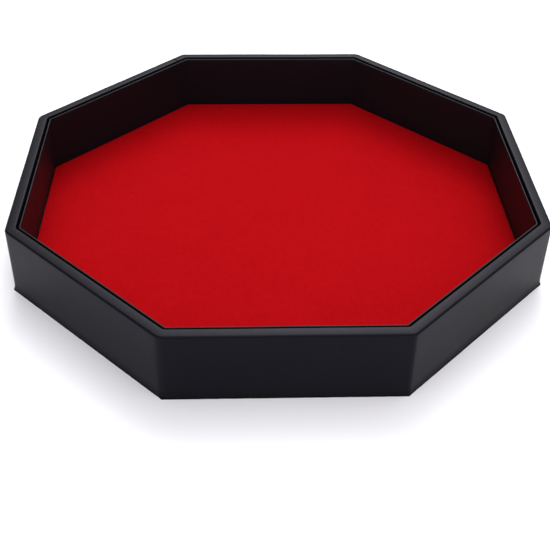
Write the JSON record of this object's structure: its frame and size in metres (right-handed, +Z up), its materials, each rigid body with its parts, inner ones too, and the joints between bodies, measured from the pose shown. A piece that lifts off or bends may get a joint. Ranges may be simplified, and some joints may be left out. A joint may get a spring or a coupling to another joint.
{
  "type": "octagonal dice tray",
  "caption": "Rigid octagonal dice tray with leatherette-wrapped walls, a leaning inner liner and a flat velvet pad in the bottom.",
  "frame": {"origin": "middle of the underside, on the surface that the tray stands on", "axes": "+Z up, with a flat side facing each of +X, -X, +Y and -Y; the front side faces -Y"},
  "size_m": [0.301, 0.301, 0.0415],
  "materials": {
    "black_leatherette": "satin",
    "smooth_leatherette": "satin",
    "red_velvet": "matte",
    "black_felt": "matte",
    "fibreboard": "matte",
    "grey_card": "matte",
    "white_wadding": "matte",
    "adhesive_tissue": "matte"
  },
  "bodies": {
    "root": {"bottom_sheet": "black_felt", "levelling_card": "grey_card", "base_board": "grey_card", "wall_core_right": "fibreboard", "wall_core_back_right": "fibreboard", "wall_core_back": "fibreboard", "wall_core_back_left": "fibreboard", "wall_core_left": "fibreboard", "wall_core_front_left": "fibreboard", "wall_core_front": "fibreboard", "wall_core_front_right": "fibreboard", "outer_wrap": "black_leatherette", "liner_core_right": "grey_card", "liner_core_back_right": "grey_card", "liner_core_back": "grey_card", "liner_core_back_left": "grey_card", "liner_core_left": "grey_card", "liner_core_front_left": "grey_card", "liner_core_front": "grey_card", "liner_core_front_right": "grey_card", "liner_cover": "smooth_leatherette", "pad_adhesive": "adhesive_tissue", "pad_card": "grey_card", "pad_wadding": "white_wadding", "velvet_cover": "red_velvet"}
  },
  "joints": []
}
